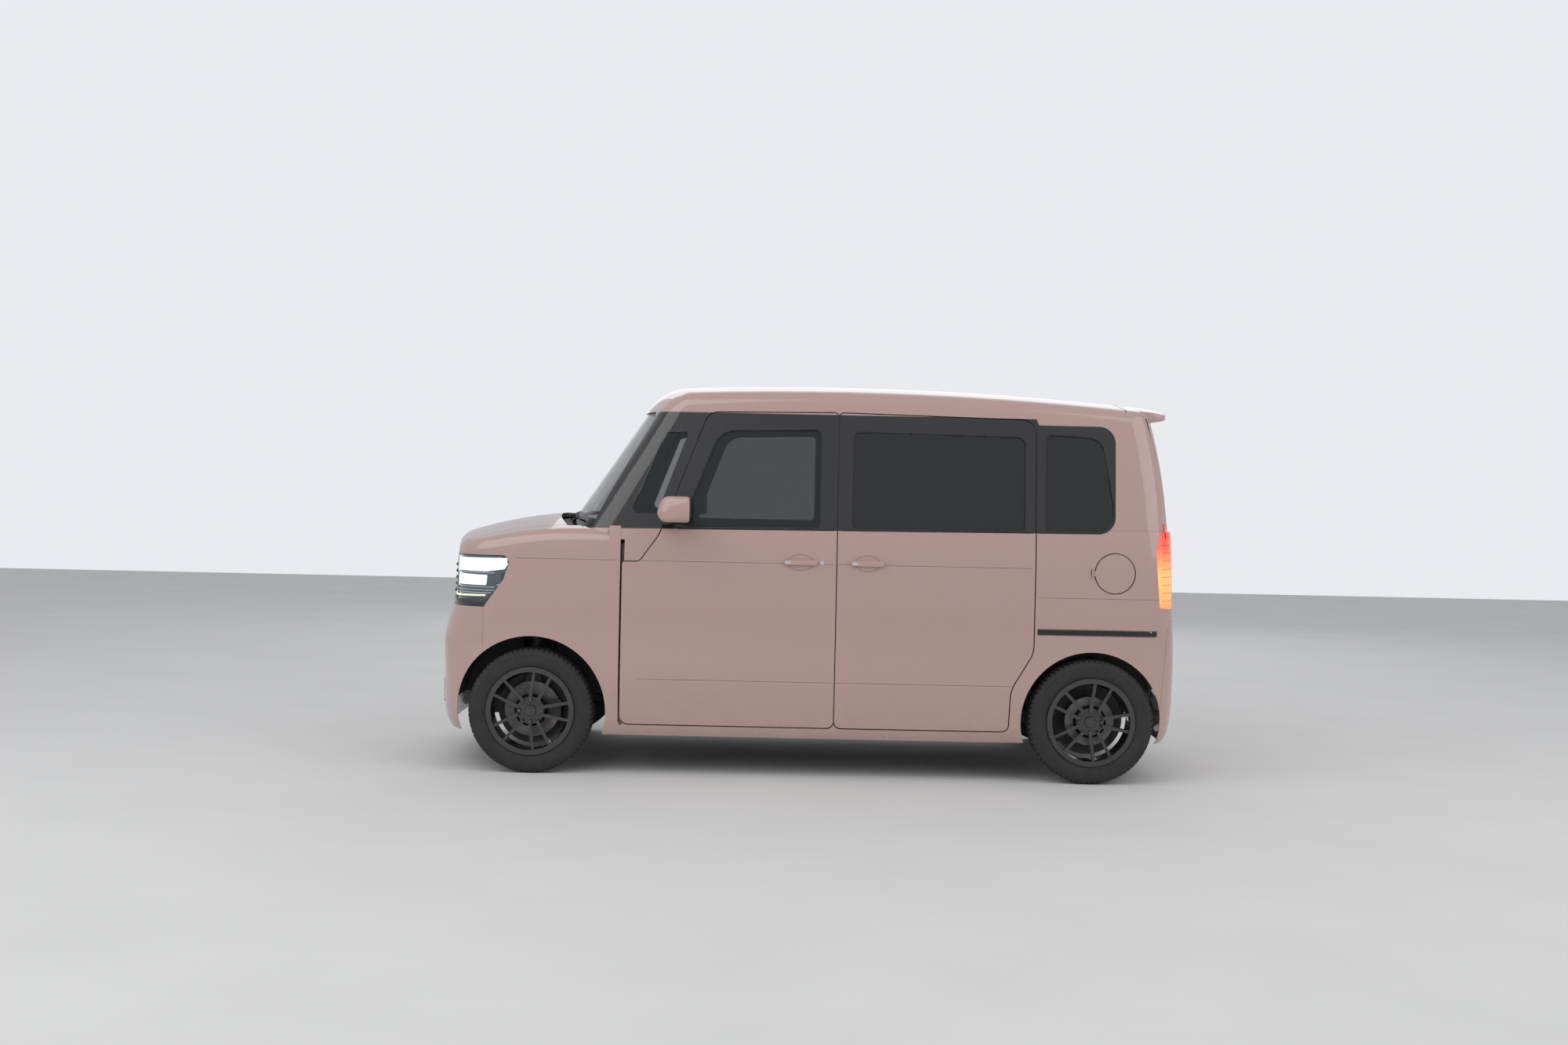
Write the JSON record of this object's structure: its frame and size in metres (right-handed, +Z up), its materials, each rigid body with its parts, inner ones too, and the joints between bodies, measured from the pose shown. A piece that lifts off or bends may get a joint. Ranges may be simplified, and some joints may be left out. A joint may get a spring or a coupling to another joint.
{
  "type": "tall kei-class wagon with sliding rear doors",
  "caption": "Small tall-bodied car with hinged front doors, sliding rear doors, a lifting tailgate and bonnet, steered front wheels and a furnished cabin.",
  "frame": {"origin": "on the ground below the middle of the car, mirrors counted", "axes": "+Z up, nose towards -X, right-hand side towards +Y"},
  "size_m": [3.3969, 1.81, 1.7898],
  "materials": {
    "paint": "gloss car paint, plain light colour",
    "glass": "tinted automotive glass",
    "tyre": "matt black rubber",
    "black_alloy": "gloss black alloy",
    "iron": "bare machined iron",
    "chassis": "black chassis coating",
    "black_plastic": "grained black plastic",
    "seat_cloth": "dark woven cloth",
    "lamp_clear": "clear lamp cover",
    "lamp_red": "red lamp cover"
  },
  "bodies": {
    "body": {"body_side_left": "paint", "body_side_right": "paint", "cowl": "black_plastic", "dashboard": "black_plastic", "engine_block": "chassis", "exhaust": "chassis", "floor_pan": "chassis", "front_bumper": "paint", "front_rails": "chassis", "front_seats": "seat_cloth", "front_subframe": "chassis", "front_wing_left": "paint", "front_wing_right": "paint", "fuel_tank": "chassis", "grille": "black_plastic", "headlamps": "lamp_clear", "quarter_glass": "glass", "rear_axle": "chassis", "rear_bumper": "paint", "rear_seat": "seat_cloth", "roof_panel": "paint", "sliding_door_glass": "glass", "sliding_door_left": "paint", "sliding_door_right": "paint", "steering_column": "black_plastic", "tail_lamps": "lamp_red", "wheel_liners": "black_plastic", "windscreen": "glass"},
    "wheel_front_left": {"tyre_front_left": "tyre", "rim_front_left": "black_alloy", "brake_disc_left": "iron"},
    "wheel_front_right": {"tyre_front_right": "tyre", "rim_front_right": "black_alloy", "brake_disc_right": "iron"},
    "wheel_rear_left": {"tyre_rear_left": "tyre", "rim_rear_left": "black_alloy", "brake_drum_left": "iron"},
    "wheel_rear_right": {"tyre_rear_right": "tyre", "rim_rear_right": "black_alloy", "brake_drum_right": "iron"},
    "front_door_left_assembly": {"front_door_left": "paint", "door_glass_left": "glass", "mirror_left": "paint"},
    "front_door_right_assembly": {"front_door_right": "paint", "door_glass_right": "glass", "mirror_right": "paint"},
    "tailgate_assembly": {"tailgate": "paint", "tailgate_glass": "glass"},
    "bonnet_lid": {"bonnet": "paint"},
    "fuel_door": {"fuel_lid": "paint"},
    "knuckle_left_assembly": {"knuckle_left": "chassis"},
    "knuckle_right_assembly": {"knuckle_right": "chassis"},
    "hand_wheel": {"steering_wheel": "black_plastic"}
  },
  "joints": [
    {"name": "steer_left", "type": "hinge", "parent": "body", "child": "knuckle_left_assembly", "pos_m": [-1.2225, -0.588, 0.172], "axis": [0, 0.1649, 0.9863], "range_deg": [-35, 35]},
    {"name": "steer_right", "type": "hinge", "parent": "body", "child": "knuckle_right_assembly", "pos_m": [-1.2225, 0.588, 0.172], "axis": [0, -0.1649, 0.9863], "range_deg": [-35, 35]},
    {"name": "hand_wheel_turn", "type": "hinge", "parent": "body", "child": "hand_wheel", "pos_m": [-0.52, 0.33, 0.948], "axis": [0.9315, 0, 0.3639], "range_deg": [-540, 540]},
    {"name": "roll_front_left", "type": "hinge", "parent": "knuckle_left_assembly", "child": "wheel_front_left", "pos_m": [-1.2225, -0.645, 0.281], "axis": [0, 1, 0], "continuous": true},
    {"name": "roll_front_right", "type": "hinge", "parent": "knuckle_right_assembly", "child": "wheel_front_right", "pos_m": [-1.2225, 0.645, 0.281], "axis": [0, 1, 0], "continuous": true},
    {"name": "roll_rear_left", "type": "hinge", "parent": "body", "child": "wheel_rear_left", "pos_m": [1.2975, -0.645, 0.281], "axis": [0, 1, 0], "continuous": true},
    {"name": "roll_rear_right", "type": "hinge", "parent": "body", "child": "wheel_rear_right", "pos_m": [1.2975, 0.645, 0.281], "axis": [0, 1, 0], "continuous": true},
    {"name": "door_left_swing", "type": "hinge", "parent": "body", "child": "front_door_left_assembly", "pos_m": [-0.78, -0.7205, 0.6], "axis": [0, 0, -1], "range_deg": [0, 68]},
    {"name": "door_right_swing", "type": "hinge", "parent": "body", "child": "front_door_right_assembly", "pos_m": [-0.78, 0.7205, 0.6], "axis": [0, 0, 1], "range_deg": [0, 68]},
    {"name": "tailgate_lift", "type": "hinge", "parent": "body", "child": "tailgate_assembly", "pos_m": [1.474, 0, 1.707], "axis": [0, -1, 0], "range_deg": [0, 80]},
    {"name": "bonnet_lift", "type": "hinge", "parent": "body", "child": "bonnet_lid", "pos_m": [-1.045, 0, 1.085], "axis": [0, 1, 0], "range_deg": [0, 50]},
    {"name": "fuel_lid_swing", "type": "hinge", "parent": "body", "child": "fuel_door", "pos_m": [1.289, -0.729, 0.952], "axis": [0, 0, -1], "range_deg": [0, 85]}
  ],
  "couplings": [
    {"joint": "steer_right", "follows": "steer_left", "ratio": 1},
    {"joint": "hand_wheel_turn", "follows": "steer_left", "ratio": -15}
  ]
}
